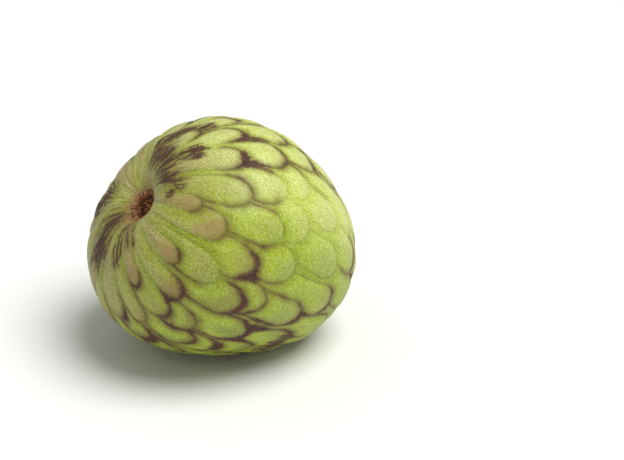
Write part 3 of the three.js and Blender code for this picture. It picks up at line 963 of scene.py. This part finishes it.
class CUSTARD_APPLE_OT_stalk(bpy.types.Operator):
    """Makes the torn end of the stalk and its loose fibres, in place of the plain CAD stub"""

    bl_idname = "custard_apple.stalk"
    bl_label = "Make stalk end"

    def execute(self, context):
        shape = context.scene.custard_apple_shape
        colours = context.scene.custard_apple_colours
        skin = skin_surface(shape)["points"]
        seat = Seat(skin)
        foot_level = np.array([*stub_middle(), cavity_floor(shape) - SEAT_DEPTH])

        points, shade, grain = stub_surface(shape)
        points = seat.place(points + foot_level)[None]
        hollow, foot = points[:, -1].mean(axis=1), points[:, 0].mean(axis=1)
        mesh = tubes_mesh("stalk_end", points[:, ::-1], hollow, foot)
        set_attribute(mesh, "wood_shade", shade[None, ::-1])
        set_attribute(mesh, "wood_grain", np.broadcast_to(grain, points.shape[1:])[None, ::-1])
        stub = add_object(mesh, wood_material(colours))
        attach(stub, "root")
        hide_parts("stalk_stub")

        rods, feet, tips, shade = fibre_surfaces(shape)
        rods, feet, tips = (seat.place(part + foot_level) for part in (rods, feet, tips))
        mesh = tubes_mesh("stalk_fibres", rods, feet, tips)
        set_attribute(mesh, "wood_shade", shade)
        fibres = add_object(mesh, fibre_material(colours))
        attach(fibres, "root")
        return {"FINISHED"}


def soft_sun(name, strength, towards):
    """A large soft light, far away in the direction given, so that it lights the floor evenly."""
    data = bpy.data.lights.new(name, "SUN")
    data.energy = strength
    data.angle = KEY_SPREAD
    lamp = bpy.data.objects.new(name, data)
    lamp.rotation_euler = towards.to_track_quat("Z", "Y").to_euler()
    lamp.location = towards
    bpy.context.scene.collection.objects.link(lamp)
    return lamp


class CUSTARD_APPLE_OT_stage(bpy.types.Operator):
    """Makes the floor, the large soft light, the white surroundings and the camera"""

    bl_idname = "custard_apple.stage"
    bl_label = "Make stage"

    def execute(self, context):
        stage = context.scene.custard_apple_stage
        low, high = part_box("fruit")
        target = (low + high) / 2

        angle = 2 * pi * np.arange(FLOOR_SIDES) / FLOOR_SIDES
        edge = [FLOOR_RADIUS * np.cos(angle), FLOOR_RADIUS * np.sin(angle), 0 * angle - FLOOR_DROP]
        mesh = bpy.data.meshes.new("studio_floor")
        mesh.from_pydata(np.stack(edge, axis=-1), [], [list(range(FLOOR_SIDES))])
        material, tree = new_material("studio_floor_painted")
        paint = add_node(tree, "BsdfPrincipled", {"Base Color": rgba(stage.floor_colour), "Roughness": 0.9})
        add_node(tree, "OutputMaterial", {"Surface": paint[0]})
        add_object(mesh, material)

        soft_sun("key_light", stage.key_strength, Vector(KEY_DIRECTION))

        world = bpy.data.worlds.new("studio")
        world.use_nodes = True
        world.node_tree.nodes.clear()
        sky = add_node(world.node_tree, "Background", {"Color": (1, 1, 1, 1), "Strength": stage.sky})
        add_node(world.node_tree, "OutputWorld", {"Surface": sky[0]})
        context.scene.world = world
        context.scene.view_settings.view_transform = "Standard"

        tilt = stage.elevation
        up = Vector((0, math.sin(tilt), math.cos(tilt)))
        towards = Vector((0, -math.cos(tilt), math.sin(tilt)))
        aim = target + stage.aside * Vector((1, 0, 0)) + stage.above * up
        data = bpy.data.cameras.new("camera")
        data.lens = stage.lens
        data.sensor_width = SENSOR_WIDTH
        camera = bpy.data.objects.new("camera", data)
        camera.matrix_world = Matrix.LocRotScale(
            aim + stage.distance * towards, towards.to_track_quat("Z", "Y"), None
        )
        context.scene.collection.objects.link(camera)
        context.scene.camera = camera
        return {"FINISHED"}


class CUSTARD_APPLE_PT_panel(bpy.types.Panel):
    """Lists the sizes, the colours and the operators"""

    bl_idname = "CUSTARD_APPLE_PT_panel"
    bl_label = "Custard apple"
    bl_space_type = "VIEW_3D"
    bl_region_type = "UI"
    bl_category = "Custard apple"

    def draw(self, context):
        for group, operators in PANEL_ORDER:
            box = self.layout.box()
            settings = getattr(context.scene, group)
            for name in type(settings).__annotations__:
                box.prop(settings, name)
            for operator in operators:
                box.operator(operator.bl_idname)


PANEL_ORDER = [
    ("custard_apple_shape", [CUSTARD_APPLE_OT_fruit, CUSTARD_APPLE_OT_stalk]),
    ("custard_apple_colours", []),
    ("custard_apple_stage", [CUSTARD_APPLE_OT_stage]),
]
GROUPS = {
    "custard_apple_shape": CustardAppleShape,
    "custard_apple_colours": CustardAppleColours,
    "custard_apple_stage": CustardAppleStage,
}
CLASSES = [
    *GROUPS.values(),
    CUSTARD_APPLE_OT_fruit,
    CUSTARD_APPLE_OT_stalk,
    CUSTARD_APPLE_OT_stage,
    CUSTARD_APPLE_PT_panel,
]


def register():
    for kind in CLASSES:
        bpy.utils.register_class(kind)
    for name, kind in GROUPS.items():
        setattr(bpy.types.Scene, name, bpy.props.PointerProperty(type=kind))


def unregister():
    for name in GROUPS:
        delattr(bpy.types.Scene, name)
    for kind in reversed(CLASSES):
        bpy.utils.unregister_class(kind)


def main():
    """Makes everything."""
    register()
    bpy.ops.custard_apple.stage()
    bpy.ops.custard_apple.fruit()
    bpy.ops.custard_apple.stalk()


if __name__ == "__main__":
    main()
